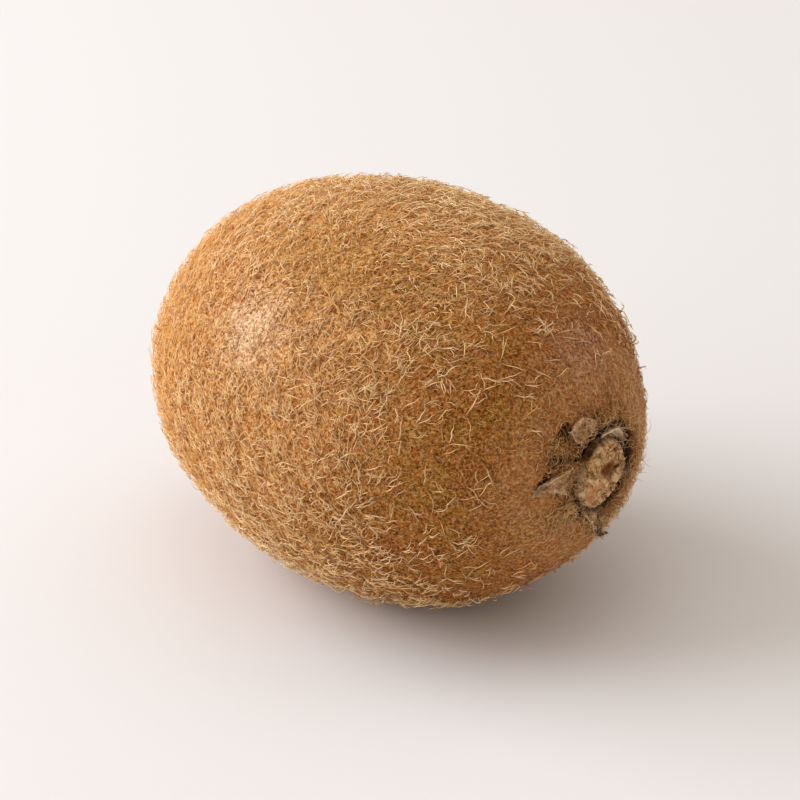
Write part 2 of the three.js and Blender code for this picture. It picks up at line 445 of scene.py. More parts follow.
def hair_prototype(rings):
    """The points of one straight hair, as (across, up, along), and its triangles. It has 3 points in each
    ring, thins towards the tip and ends in a point. Its root is open, as it lies under the skin."""
    hair = new_form(
        "hair", bpy.ops.mesh.primitive_cone_add, vertices=3, radius1=1, radius2=0, depth=1,
        end_fill_type="NOTHING", location=(0, 0, 0.5))
    with editing(hair):
        for i in range(1, rings):
            bpy.ops.mesh.select_all(action="SELECT")
            bpy.ops.mesh.bisect(plane_co=(0, 0, i / rings), plane_no=(0, 0, 1))
        bpy.ops.mesh.select_all(action="SELECT")
        bpy.ops.mesh.quads_convert_to_tris()
    bpy.ops.object.transform_apply(location=True)
    points, triangles = points_of(hair.data), triangles_of(hair.data)
    bpy.data.objects.remove(hair)
    # A plain cone is thin too soon: the hair keeps most of its width until near its tip.
    along = points[:, 2]
    width = np.hypot(points[:, 0], points[:, 1])
    fuller = np.where(width > 0, np.maximum(1 - along, 0) ** 0.6 * 0.9 + 0.1, 0) / np.maximum(width, 1e-9)
    points[:, :2] *= fuller[:, None]
    return points, triangles


class Draw:
    """Random numbers, one for each of count hairs at a time, from a seed or from another one's generator."""

    def __init__(self, seed, count):
        self.rng, self.count = np.random.default_rng(seed), count

    def even(self, low, high):
        return low + (high - low) * self.rng.random(self.count)

    def mm(self, low, high):
        return self.even(low, high) * MM

    def bell(self, middle, width):
        return self.rng.normal(middle, width, self.count)


class Ground:
    """A surface that hairs grow on."""

    def __init__(self, piece):
        self.points, self.normals = points_of(piece.data), points_of(piece.data, "normal")
        self.triangles = triangles_of(piece.data)
        a, b, c = (self.points[self.triangles[:, i]] for i in range(3))
        self.middle = (a + b + c) / 3
        self.area = np.linalg.norm(np.cross(b - a, c - a), axis=1) / 2

    def scatter(self, draw, density):
        """Roots spread over the surface, thicker where density says so, and the surface's normals there."""
        weight = self.area * density(self.middle)
        chosen = draw.rng.choice(len(weight), draw.count, p=weight / weight.sum())
        share = draw.rng.random((draw.count, 2))
        share = np.where(share.sum(1, keepdims=True) > 1, 1 - share, share)
        share = np.column_stack([1 - share.sum(1), share])[:, :, None]
        corners = self.triangles[chosen]
        normals = unit((self.normals[corners] * share).sum(1))
        return (self.points[corners] * share).sum(1) - normals * ROOT_DEPTH, normals


def unit(vectors):
    return vectors / np.maximum(np.linalg.norm(vectors, axis=-1, keepdims=True), 1e-9)


def comb(places, normals):
    """The way the coat lies: round the fruit over most of it, and towards the button near the stalk end."""
    outwards = unit(places * (0, 1, 1) - (0, 0, AXIS))
    round_axis = unit(np.cross(outwards, (1, 0, 0)))
    lengthways = unit(np.array([1.0, 0, 0]) - normals * normals[:, :1])
    x = places[:, 0] / MM
    turn = np.radians(6 + 18 * smoothstep(x, -6, 16) + 64 * smoothstep(x, 16, 27))
    turn += 0.35 * np.sin(x * 0.21 + places[:, 1] / MM * 0.13)
    turn += 0.3 * np.sin(places[:, 2] / MM * 0.19 - x * 0.11)
    flow = round_axis * np.cos(turn)[:, None] + lengthways * np.sin(turn)[:, None]
    return unit(flow - normals * (flow * normals).sum(1, keepdims=True))


class Hairs:
    """Hairs laid over a surface, each along its own path.

    Every setting is one number for each hair. heading is how far it turns off the coat's way at its root,
    bend how much further it has turned at its tip, and kink how crooked it is. lift is how high its middle
    stands off the surface, and rise how high its tip does."""

    def __init__(
            self, roots, normals, rings, rng, heading, length, bend, kink, lift, rise, width, tone,
            flow=None):
        self.normals, self.rings, self.width, self.tone = normals, rings, width, tone
        flow = comb(roots, normals) if flow is None else flow
        side = np.cross(normals, flow)
        along = np.linspace(0, 1, rings + 1)
        turn = heading[:, None] + bend[:, None] * along
        turn = turn + kink[:, None] * rng.normal(0, 1, (len(roots), rings + 1))
        step = length[:, None] / rings * (along > 0)
        ahead, aside = np.cumsum(np.cos(turn) * step, 1), np.cumsum(np.sin(turn) * step, 1)
        height = lift[:, None] * np.sin(np.pi * np.minimum(along * 1.15, 1)) + rise[:, None] * along**1.5
        fall = (ahead**2 + aside**2) / (2 * HALF_WIDTH)
        across = (flow[:, None], side[:, None])
        self.path = roots[:, None] + normals[:, None] * (height - fall)[..., None]
        self.path += across[0] * ahead[..., None] + across[1] * aside[..., None]
        self.path[:, :, 2] = np.maximum(self.path[:, :, 2], FLOOR_GAP)
        self.across = across[1] * np.cos(turn)[..., None] - across[0] * np.sin(turn)[..., None]
        self.turn = turn

    def branches(self, parents, level, rings, rng, **settings):
        """Hairs that fork off the ones called parents, at a ring of theirs. Headings start from there."""
        settings["heading"] = settings["heading"] + self.turn[parents, level]
        settings["tone"] = self.tone[parents]
        return Hairs(self.path[parents, level], self.normals[parents], rings, rng, **settings)

    def mesh(self, name, chosen=slice(None)):
        """A piece with the chosen ones of these hairs, or with them all."""
        shape, faces = hair_prototype(self.rings)
        ring = np.round(shape[:, 2] * self.rings).astype(int)
        half = self.width[chosen, None, None] / 2
        points = self.path[chosen][:, ring]
        points = points + self.across[chosen][:, ring] * shape[None, :, :1] * half
        points += self.normals[chosen, None] * shape[None, :, 1:2] * half
        count = len(points)
        triangles = faces[None] + (np.arange(count) * len(shape))[:, None, None]
        piece = new_piece(name, points.reshape(-1, 3), triangles.reshape(-1, 3))
        # The map: root to tip along U, tone across V, with the three sides of a hair a little apart.
        third = np.round(np.degrees(np.arctan2(shape[:, 1], shape[:, 0])) / 120) % 3
        u = ROOT_U + (TIP_U - ROOT_U) * shape[:, 2] - SIDE_U * (third == 1)
        u = np.broadcast_to(u, (count, len(shape)))
        v = self.tone[chosen, None] + SIDE_V * (third - 1)
        places = np.stack([u, v], axis=2).reshape(-1, 2)
        layer = piece.data.uv_layers.new(name=HAIR_MAP)
        layer.uv.foreach_set("vector", places[triangles.ravel()].astype(np.float32).ravel())
        return piece

    def settle_in_thirds(self, name, material):
        """A piece for the blossom end, one for the middle and one for the stalk end."""
        order = np.argsort(self.path[:, 0, 0])
        for part, chosen in zip(["blossom_end", "middle", "stalk_end"], np.array_split(order, 3)):
            settle(self.mesh(f"{name}_{part}", chosen), material, "skin")


def in_hollow(places):
    """1 in the middle of the hollows beside the sepals, and 0 outside them."""
    side, up = places[:, 1] / MM, (places[:, 2] - AXIS) / MM
    return sum(np.exp(-((np.hypot(side - y, up - z) / width) ** 3)) for y, z, width, _ in HOLLOWS)


def coat(places):
    """1 on the coat, 0 where no hair grows: the seat under the button, the beak, and the flat spot."""
    seat = smoothstep(past_seat(places), 0, 0.3 * MM) * (1 - 0.9 * np.minimum(1.2 * in_hollow(places), 1))
    beak = smoothstep(np.hypot(places[:, 1], places[:, 2] - AXIS), 1.6 * MM, 2.2 * MM)
    thinner_below = 0.55 + 0.45 * smoothstep(places[:, 2], 3 * MM, 12 * MM)
    return np.where(places[:, 0] > 0, seat, beak) * thinner_below * (places[:, 2] > 0.2 * MM)


def worn_and_sheen(places):
    """1 in the middle of the patches where the coat is worn thin and the skin carries a painted highlight,
    and 0 off them.
    """
    first, second = (np.linalg.norm(places - middle, axis=1) for middle in (WORN_SHEEN_PLACE, SHOULDER_SHEEN_PLACE))
    return 2 - smoothstep(first, 1 * MM, 8 * MM) - smoothstep(second, 0.5 * MM, 7 * MM)


def long_hair_share(places):
    """How thick the long hairs grow: all over, but only here and there towards the stalk end."""
    x = places[:, 0] / MM - 5.5 * np.abs(places[:, 2] - AXIS) / HALF_WIDTH
    thin = (1 - 0.8 * smoothstep(x, 11, 21)) * (1 - smoothstep(x, 24, 28))
    return coat(places) * thin * (1 - 0.75 * worn_and_sheen(places))


def short_hair_share(places):
    return coat(places) * (1 - 0.4 * worn_and_sheen(places))


def golden_and_lit_side(roots):
    """1 on the paler side of the coat, towards the blossom end and the top, and 0 on the other. The paleness
    is partly the hairs' own tone and partly painted light.
    """
    return 1 - smoothstep(roots[:, 0] - (roots[:, 2] - AXIS) * GOLDEN_LEAN, *GOLDEN_RANGE)


def contrast(roots):
    """How far the hairs' tones differ: most round the fruit's middle, and less at its ends."""
    return 0.55 + 0.75 * np.exp(-(((roots[:, 0] / MM - 9) / 15) ** 2)) + 0.6 * worn_and_sheen(roots)


def blossom_side(roots):
    """1 at the blossom end, and 0 from the fruit's middle on."""
    return 1 - smoothstep(roots[:, 0], -26 * MM, 0)


def far_side(roots):
    """1 on the strip of the stalk end beyond the button, whose hairs are painted paler as painted rim light,
    and 0 off it.
    """
    return smoothstep(roots[:, 0], 25 * MM, 29 * MM) * smoothstep(roots[:, 1], 2 * MM, 6 * MM)


def top_side(roots):
    """1 along the top of the fruit, and 0 below it."""
    return smoothstep(roots[:, 2], AXIS + 17 * MM, AXIS + 23 * MM)


def olive_patch(places):
    """1 in the middle of the long patch where the long hairs are few and short, and 0 outside it."""
    away = np.linalg.norm((places - np.array(OLIVE_PLACE)) * OLIVE_SHAPE, axis=1)
    return 1 - smoothstep(away, *OLIVE_RANGE)


def paler_by_place(roots):
    """How much paler the short hairs are at some places, and darker at others. Along the top and on the
    strip beyond the button the paleness is painted light.
    """
    at_stalk = smoothstep(roots[:, 0], 26 * MM, 30 * MM)
    paler = 0.15 * at_stalk + 0.2 * far_side(roots) + 0.2 * top_side(roots)
    return paler - 0.06 * blossom_side(roots) - 0.05 * olive_patch(roots)


def make_stubble(ground, material):
    """The shortest hairs, straight and close to the skin."""
    draw = Draw(seed=11, count=42000)
    roots, normals = ground.scatter(draw, short_hair_share)
    nothing = np.zeros(draw.count)
    tone = 0.31 + draw.bell(0, 0.22) * contrast(roots) + 0.3 * golden_and_lit_side(roots) - 0.55 * worn_and_sheen(roots)
    tone += paler_by_place(roots)
    Hairs(
        roots, normals, 1, draw.rng, heading=draw.bell(0, 0.6), length=draw.mm(0.4, 0.9), bend=nothing,
        kink=nothing, lift=nothing, rise=draw.mm(0.12, 0.4), width=draw.mm(0.06, 0.1),
        tone=np.clip(tone, 0.03, 0.97),
    ).settle_in_thirds("stubble", material)


def make_down(ground, material):
    """The under coat: short bent hairs, shortest at the stalk end."""
    draw = Draw(seed=12, count=23000)
    roots, normals = ground.scatter(draw, short_hair_share)
    tone = 0.47 + draw.bell(0, 0.24) * contrast(roots) + 0.26 * golden_and_lit_side(roots) - 0.35 * worn_and_sheen(roots)
    tone += paler_by_place(roots)
    shorter = 1 - 0.3 * smoothstep(roots[:, 0], 20 * MM, 28 * MM)
    Hairs(
        roots, normals, 2, draw.rng, heading=draw.bell(0, 0.6), length=draw.even(1.0, 2.1) * shorter * MM,
        bend=draw.bell(0, 0.6), kink=draw.even(0.1, 0.4), lift=draw.mm(0.1, 0.3), rise=draw.mm(0.1, 0.5),
        width=draw.mm(0.065, 0.095), tone=np.clip(tone, 0.03, 0.97),
    ).settle_in_thirds("down", material)


def make_long_hairs(ground, material):
    """The top coat: long crooked hairs, many in pairs or stars from one root, and many forked."""
    tufts = Draw(seed=13, count=6200)
    roots, normals = ground.scatter(tufts, long_hair_share)
    members = tufts.rng.choice([1, 2, 3, 4], tufts.count, p=[0.55, 0.28, 0.11, 0.06])
    tuft = np.repeat(np.arange(tufts.count), members)
    roots, normals = roots[tuft], normals[tuft]
    draw = Draw(tufts.rng, len(tuft))
    star = (members[tuft] > 2).astype(float)
    tone = tufts.bell(0.94, 0.1)[tuft] + draw.bell(0, 0.05)
    tone -= 0.2 * blossom_side(roots) + 0.12 * olive_patch(roots)
    broader = 1.05 - 0.35 * blossom_side(roots)
    combed = 1 - 0.5 * top_side(roots)
    longer = 1 - 0.45 * olive_patch(roots)
    hairs = Hairs(
        roots, normals, 5, draw.rng,
        heading=(tufts.bell(0, 0.5)[tuft] + draw.bell(0, 0.5)) * combed
        + star * draw.rng.uniform(-3, 3, draw.count),
        length=draw.even(1.8, 3.8) * (1 - 0.35 * star) * longer * MM,
        bend=draw.bell(0, 0.5), kink=draw.even(0.15, 0.5), lift=draw.mm(0.15, 0.75),
        rise=draw.mm(0.0, 1.25), width=draw.even(0.13, 0.2) * broader * MM, tone=np.clip(tone, 0.4, 0.97))
    hairs.settle_in_thirds("long_hair", material)
    for level in (2, 3):
        parents = draw.rng.choice(draw.count, int(0.34 * draw.count), replace=False)
        forks = Draw(draw.rng, len(parents))
        hairs.branches(
            parents, level, 3, draw.rng,
            heading=draw.rng.choice([-1, 1], forks.count) * forks.even(0.4, 1.0),
            length=hairs_left(hairs, parents, level) * forks.even(0.7, 1.1),
            bend=forks.bell(0, 0.4), kink=forks.even(0.1, 0.35), lift=np.zeros(forks.count),
            rise=forks.mm(-0.1, 0.25), width=hairs.width[parents] * 0.8,
        ).settle_in_thirds(f"branch_{level}", material)


def hairs_left(hairs, parents, level):
    """How long those hairs are from a ring to the tip."""
    return np.linalg.norm(np.diff(hairs.path[parents, level:], axis=1), axis=2).sum(1)


def make_seat_fringe(ground, material):
    """The curly hairs round the seat, of which some reach over its edge and over the sepals."""
    draw = Draw(seed=15, count=1500)

    def round_seat(places):
        side, up = places[:, 1] / MM, (places[:, 2] - AXIS) / MM
        near = np.exp(-np.maximum(past_seat(places) / MM, 0) / 1.2)
        below = np.exp(-((side + 7.3) ** 2 + (up + 3.6) ** 2) / 2.2)
        beside = np.exp(-((side + 7.5) ** 2 + (up - 4.5) ** 2) / 3)
        return coat(places) * (places[:, 0] > 0) * (near + 1.2 * below + beside)

    roots, normals = ground.scatter(draw, round_seat)
    tone = draw.bell(0.66, 0.22) + 0.25 * far_side(roots) + 0.15 * (roots[:, 2] < AXIS)
    fringe = Hairs(
        roots, normals, 6, draw.rng, heading=draw.bell(0, 1.3), length=draw.mm(1.2, 2.8),
        bend=draw.bell(0, 2.4), kink=draw.even(0.1, 0.4), lift=draw.mm(0.2, 0.8), rise=draw.mm(-0.1, 1.0),
        width=draw.mm(0.08, 0.13), tone=np.clip(tone, 0.05, 0.95))
    settle(fringe.mesh("seat_fringe"), material, "skin")


# ------------ Stalk end: the button and the sepals ------------

BUTTON_SIDES = 64
BUTTON_TOP = BUTTON_HIGH.x - 0.65 * MM
BUTTON_TILT = 0.25 * MM

# Marks on the button, each as how far to the side of the axis and above it, and how wide, in millimetres.
PIT = (0.9, -0.6, 1.4)
LUMP = (-3.3, -2.0, 1.4)  # the rosy knob at the foot of the face
LOW_WALL_SHADOW = (-4.4, -1.6, 2.0)  # the wall below that, painted dark as a painted shadow

# The knobs and dents of the face, each with how far it stands out or is pressed in as a fourth number.
RELIEF = [
    (-3.5, 2.1, 0.8, 0.3), (-2.8, 0.6, 0.7, 0.4), (-2.4, -0.8, 0.6, 0.35), (-1.3, 1.1, 0.7, 0.35),
    (-2.0, 0.7, 0.28, -0.5), (-0.7, 2.6, 0.45, 0.35), (0.1, 3.1, 0.4, 0.3), (1.3, 2.4, 0.5, 0.35),
    (0.3, -1.0, 0.9, -0.35), (1.3, -0.3, 0.9, -0.35), (1.6, -2.1, 0.45, -0.5), (0.5, -3.0, 0.4, -0.4),
    (2.3, 0.6, 0.35, -0.5), (2.1, 1.9, 0.3, -0.45), (2.2, -1.1, 0.4, -0.35), (0.3, -2.2, 0.6, 0.3),
    (-2.1, 3.1, 0.4, -0.5), (2.9, 1.2, 0.4, 0.3), (-0.6, -2.4, 0.35, -0.3),
]

# The slits in the face, each as its side and height, its lean off the upright, and its length.
SLIT_WIDTH = 0.15
SLITS = [
    (0.6, 2.7, 0.05, 0.8), (-1.4, -2.8, -0.2, 0.5), (-0.3, 2.9, -0.2, 0.7), (1.6, 2.3, 0.3, 0.7),
    (-1.2, 2.2, -0.5, 0.5), (2.2, -1.6, 0.7, 0.8),
]


def cloud(*place):
    return noise.noise(Vector(place))


def crumple(place, size, seed=0.0):
    """A cloudy value of about -1 to 1, at a place and of a size in metres."""
    at = Vector(place) / size + Vector((seed, seed * 1.7, -seed))
    return noise.noise(at) + 0.5 * noise.noise(at * 2.1) + 0.25 * noise.noise(at * 4.3)


def button_material():
    shader = Shader("button_wood")
    patches = shader.noise(700, detail=3)
    grain = shader.noise(1100, detail=4, roughness=0.6, distortion=1.2)
    wall = shader.ramp(grain, (0.34, 96, 66, 38), (0.5, 176, 140, 98), (0.66, 222, 190, 146))
    face = shader.ramp(grain, (0.36, 112, 74, 38), (0.48, 200, 156, 106), (0.6, 240, 204, 156))
    gold = shader.ramp(grain, (0.36, 92, 54, 18), (0.48, 188, 134, 76), (0.6, 224, 176, 116))
    radius = shader.from_line(BUTTON_SIDE, BUTTON_UP)
    colour = shader.mix(patches.between(0.44, 0.6) * 0.8, face, gold)
    colour = shader.mix(radius.between(BUTTON_RADIUS * 0.8, BUTTON_RADIUS * 0.9), colour, wall)
    lump = shader.mark(*LUMP) * (0.4 + grain.between(0.35, 0.6) * 0.5)
    colour = shader.mix(lump * 0.75, colour, paint(206, 132, 78))
    # The hollows between the fibres are painted darker, as painted shade. The face leans, so its level does
    # too.
    x, y = shader.axis("X"), shader.axis("Y")
    # The foot of the wall below the knob is painted dark, as a painted shadow.
    low_wall_shadow = shader.mark(*LOW_WALL_SHADOW) * (1 - x.between(BUTTON_TOP - 0.9 * MM, BUTTON_TOP - 0.3 * MM))
    colour = shader.mix(low_wall_shadow * 0.8, colour, paint(72, 42, 20))
    level = x + (y - BUTTON_SIDE) * (BUTTON_TILT / BUTTON_RADIUS) - BUTTON_TOP
    hollow_shade = 1 - level.between(-0.75 * MM, -0.2 * MM)
    on_face = 1 - radius.between(BUTTON_RADIUS * 0.84, BUTTON_RADIUS * 0.94)
    colour = shader.mix(hollow_shade * on_face * 0.75, colour, paint(64, 36, 12))
    colour = shader.mix(shader.mark(*PIT) * 0.8, colour, paint(132, 70, 4))
    normal = shader.bump(grain, 0.6, 0.12 * MM)
    return shader.finish(Base_Color=colour, Roughness=0.8, Specular_IOR_Level=0.25, Normal=normal)


ODD_PLACE = (0.3, 0.11, 0.07)  # no two parts of a form are equally far from it


def number_in_order():
    """Numbers the selected points and faces by how far they are from one place. Some operators leave them in
    an order that can change from one run to the next, and hairs are scattered by it."""
    cursor = bpy.context.scene.cursor
    cursor.location = ODD_PLACE
    bpy.ops.mesh.sort_elements(type="CURSOR_DISTANCE", elements={"VERT", "EDGE", "FACE"})
    cursor.location = (0, 0, 0)


def make_button(fibre):
    """The woody disc: a barrel wall, a thin rim, a sunk face of torn fibres, and a pit."""
    base, top = BUTTON_LOW.x, BUTTON_TOP
    outline = [  # radius as a share of the button's, and height
        (1.02, base + 0.1 * MM), (1.03, base + 0.7 * MM), (1.0, top - 0.6 * MM), (0.98, top - 0.15 * MM),
        (0.95, top), (0.91, top + 0.08 * MM), (0.86, top - 0.12 * MM), (0.78, top - 0.4 * MM),
        (0.68, top - 0.24 * MM), (0.58, top - 0.1 * MM), (0.48, top - 0.1 * MM), (0.38, top - 0.16 * MM),
        (0.28, top - 0.2 * MM), (0.18, top - 0.24 * MM), (0.08, top - 0.26 * MM),
    ]
    middle = (BUTTON_SIDE, BUTTON_UP)
    share, height = 0.88, base
    button = new_form(
        "stalk_button", bpy.ops.mesh.primitive_circle_add, vertices=BUTTON_SIDES,
        radius=share * BUTTON_RADIUS, fill_type="NGON", location=(base, *middle),
        rotation=(0, math.pi / 2, 0))
    bpy.ops.object.transform_apply(location=True, rotation=True)
    with editing(button):
        for next_share, next_height in outline:
            move = {"value": (next_height - height, 0, 0)}
            bpy.ops.mesh.extrude_region_move(TRANSFORM_OT_translate=move)
            grown = next_share / share
            bpy.ops.transform.resize(value=(1, grown, grown), center_override=(next_height, *middle))
            share, height = next_share, next_height
        bpy.ops.mesh.merge(type="CENTER")
        bpy.ops.mesh.select_all(action="SELECT")
        bpy.ops.mesh.normals_make_consistent(inside=False)
        number_in_order()
    apply(button, "SUBSURF", levels=2, render_levels=2)
    weather_button(button.data, base, top)
    bpy.ops.object.shade_smooth()
    settle(button, button_material(), "button", "stem_button")
    grow_fibres(button, fibre)


def mound(y, z, side, up, width):
    """1 in the middle of a mark on the stalk end, falling to 0 round it."""
    return math.exp(-(math.hypot(y / MM - side, (z - AXIS) / MM - up) / width) ** 2)


def slit(y, z, side, up, lean, length):
    """The same for a short straight slit that leans off the upright by that angle."""
    y, z = y / MM - side, (z - AXIS) / MM - up
    across = y * math.cos(lean) - z * math.sin(lean)
    along = y * math.sin(lean) + z * math.cos(lean)
    return math.exp(-((across / SLIT_WIDTH) ** 2) - (along / length) ** 2)


def weather_button(mesh, base, top):
    """Puts the button out of round and tilts it, and tears its face into fibres that wind round the pit."""
    points = points_of(mesh)
    for i, (x, y, z) in enumerate(points):
        side, up = y - BUTTON_SIDE, z - BUTTON_UP
        radius, around = math.hypot(side, up), math.atan2(up, side)
        rise = max(0, min(1, (x - base) / (top - base)))
        share = radius / BUTTON_RADIUS
        on_face = rise**3 * (1 - float(smoothstep(share, 0.8, 0.95)))
        pit_way = math.atan2(z - AXIS - PIT[1] * MM, y - PIT[0] * MM)
        fibre = cloud(around * 7, rise * 1.5, share * 2)
        fine = cloud(around * 20, rise * 2, share * 5)
        notch = math.exp(-(((around - 2.15) / 0.32) ** 2))
        grown = 1 + share * (0.025 * fibre + 0.012 * fine + 0.02 * math.cos(4 * around + 1) - 0.13 * notch)
        winding = cloud(pit_way * 2.2, share * 9 + pit_way * 0.8, 3)
        strands = cloud(pit_way * 4, share * 22 + pit_way * 2, 7)
        torn = on_face * (0.25 * winding + 0.06 * strands + 0.45 * crumple((x, y, z), 1.4 * MM))
        torn += on_face * 1.35 * sum(out * mound(y, z, *mark) for *mark, out in RELIEF)
        slits = sum(slit(y, z, *mark) for mark in SLITS)
        lump = mound(y, z, *LUMP) * rise
        swollen = lump * (0.5 + 0.3 * crumple((x, y, z), 0.7 * MM, 5))
        tilt = -BUTTON_TILT / MM * (side / BUTTON_RADIUS) * rise
        uneven = rise * share * (0.12 * fibre + 0.1 * fine)
        x += (torn - 0.8 * slits * on_face + swollen + tilt + uneven) * MM
        grown *= 1 + 0.1 * lump
        points[i] = x, BUTTON_SIDE + side * grown, BUTTON_UP + up * grown * BUTTON_OVAL
    move_points(mesh, points)


def grow_fibres(button, material):
    """Torn fibres that wind round the pit on the button's face."""
    draw = Draw(seed=16, count=110)
    middle = np.array([0, PIT[0] * MM, PIT[1] * MM + AXIS])
    roots, normals = Ground(button).scatter(draw, lambda places: places[:, 0] > BUTTON_TOP - 0.9 * MM)
    outwards = (roots - middle) * (0, 1, 1)
    round_pit = unit(np.cross(normals, outwards))
    fibres = Hairs(
        roots, normals, 4, draw.rng, flow=round_pit,
        heading=draw.bell(0.3, 0.5) + np.pi * draw.rng.integers(0, 2, draw.count),
        length=draw.mm(0.5, 1.7), bend=draw.bell(0, 0.6), kink=draw.even(0.05, 0.25),
        lift=draw.mm(0.02, 0.15), rise=draw.mm(0, 0.25), width=draw.mm(0.07, 0.15),
        tone=np.clip(draw.bell(0.45, 0.28), 0.05, 0.95))
    settle(fibres.mesh("button_fibres"), material, "button")


# Marks on the sepals, as those on the button.
GREY_TIP = (-10.8, 0.6, 1.8)  # the end of the front sepal
KNOT = (-6.7, -0.6, 0.7)  # a dark knot beside its base
DARK_TIP = (0.6, -8.0, 3.2)  # the end of the lower sepal


def sepal_material():
    shader = Shader("dried_sepal")
    patches = shader.noise(600, detail=3)
    felt = shader.noise(3200, detail=3, roughness=0.7)
    pale = shader.ramp(felt, (0.34, 150, 112, 78), (0.5, 216, 176, 136), (0.68, 246, 214, 176))
    dark = shader.ramp(felt, (0.34, 84, 52, 24), (0.5, 160, 114, 66), (0.68, 206, 158, 104))
    colour = shader.mix(patches.between(0.52, 0.68) * 0.8, pale, dark)
    at_top = shader.axis("Z").between(AXIS + 1.5 * MM, AXIS + 4.5 * MM)
    at_back = shader.axis("Y").between(-2.5 * MM, -0.5 * MM)
    colour = shader.mix(at_top * (1 - at_back) * 0.35, colour, dark)
    # The upper back lobe is painted near white, as painted light on a lobe that lies in shade.
    colour = shader.mix(at_top * at_back * 0.85, colour, paint(255, 232, 200))
    colour = shader.mix(shader.mark(*DARK_TIP) * 0.9, colour, paint(60, 38, 18))
    colour = shader.mix(shader.mark(*KNOT) * 0.85, colour, paint(76, 42, 34))
    colour = shader.mix(shader.mark(*GREY_TIP) * 0.5, colour, paint(84, 54, 30))
    # The sepals' bases beside the button's wall are painted dark, as painted shade in the crevice there; the
    # upper back lobe is left out.
    from_wall = shader.from_line(BUTTON_SIDE, BUTTON_UP).between(BUTTON_RADIUS * 1.04, BUTTON_RADIUS * 1.18)
    colour = shader.mix((1 - from_wall) * (1 - at_top * at_back) * 0.8, colour, paint(50, 30, 14))
    normal = shader.bump(felt, 0.6, 0.1 * MM)
    return shader.finish(Base_Color=colour, Roughness=0.9, Specular_IOR_Level=0.2, Normal=normal)


def over_skin(tree, y, z):
    """The place on the skin of the stalk end under that y and z, and the skin's normal there."""
    place, normal, _, _ = tree.ray_cast(Vector((BODY_HIGH.x + 5 * MM, y, z)), Vector((-1, 0, 0)))
    return place, normal


def make_sepal(
        node, material, felt, tree, width, waist, curl, seed, neck=1.0, height=0.45, aside=0.0,
        gap=-0.3 * MM, felt_tone=0.4):
    """A dried sepal over the solid one's place: broad at its base, pointed, wrinkled along its length. It
    narrows between the two shares of its length in waist. neck is how wide its base is, as a share, and
    height how far it stands off the skin, in millimetres. aside moves it round the button, and gap away from
    it at its base. felt_tone is its hairs' tone."""
    solid = points_of(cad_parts[node].data)
    sides, ups = solid[:, 1] - BUTTON_SIDE, solid[:, 2] - BUTTON_UP
    radii, arounds = np.hypot(sides, ups), np.unwrap(np.arctan2(ups, -sides))
    start, reach = radii.min(), radii.max()
    base_way = arounds[radii < start + 0.8 * MM].mean()
    tip_way = arounds[radii.argmax()]
    lift = solid[radii.argmax(), 0]
    grid = bpy.ops.mesh.primitive_grid_add
    sepal = new_form(f"dried_{node}", grid, x_subdivisions=30, y_subdivisions=18, size=2)
    points = points_of(sepal.data)
    for i, (x, y, _) in enumerate(points):
        along, across = (x + 1) / 2, y
        outline = (1 - 0.78 * float(smoothstep(along, *waist))) * (1 - along**5) ** 0.5
        outline *= neck + (1 - neck) * float(smoothstep(along, 0.05, 0.5))
        ragged = 1 + 0.2 * cloud(along * 7, math.copysign(3, across), seed)
        radius = start + gap + (reach - start - gap) * along
        bend = base_way + (tip_way - base_way) * along**1.5
        around = bend + (across * width / 2 * outline * ragged + aside) / radius
        side = BUTTON_SIDE - math.cos(around) * radius
        up = BUTTON_UP + math.sin(around) * radius
        skin_place, normal = over_skin(tree, side, up)
        wrinkle = cloud(across * 3.2, along * 1.6, seed) * 0.35
        crease = cloud(across * 2.4, along * 6, seed + 4) * 0.25
        edge = curl * (0.3 + 0.7 * along) * (abs(across) ** 2.2 - 0.3)
        off_skin = (height + wrinkle + crease + edge) * MM
        hang = Vector((lift, side, up))
        if skin_place is None:
            points[i] = hang
        else:
            # The tip leaves the skin and keeps the solid one's reach.
            share = 0.7 * float(smoothstep(along, 0.75, 1.0))
            points[i] = (skin_place + normal * off_skin).lerp(hang, share)
    move_points(sepal.data, points)
    apply(sepal, "SOLIDIFY", thickness=0.2 * MM, offset=0)
    apply(sepal, "SUBSURF", levels=1, render_levels=1)
    roughen(sepal, 0.5 * MM, 0.14 * MM)
    with editing(sepal):
        bpy.ops.mesh.normals_make_consistent(inside=False)
    bpy.ops.object.shade_smooth()
    settle(sepal, material, "sepals", node)
    grow_felt(sepal, felt, felt_tone, int(seed * 10))


def grow_felt(sepal, material, tone, seed):
    """The short hairs on a sepal."""
    draw = Draw(seed, count=150)

    def off_wall(places):
        radius = np.hypot(places[:, 1] - BUTTON_SIDE, places[:, 2] - BUTTON_UP) / BUTTON_RADIUS
        return 0.1 + smoothstep(radius, 1.2, 1.35)

    roots, normals = Ground(sepal).scatter(draw, off_wall)
    felt = Hairs(
        roots, normals, 3, draw.rng, heading=draw.bell(0, 1.2), length=draw.mm(0.3, 1.3),
        bend=draw.bell(0, 1.4), kink=draw.even(0.1, 0.4), lift=draw.mm(0.05, 0.25), rise=draw.mm(0, 0.3),
        width=draw.mm(0.06, 0.1), tone=np.clip(draw.bell(tone, 0.28), 0.05, 0.95))
    settle(felt.mesh(sepal.name + "_felt"), material, "sepals")


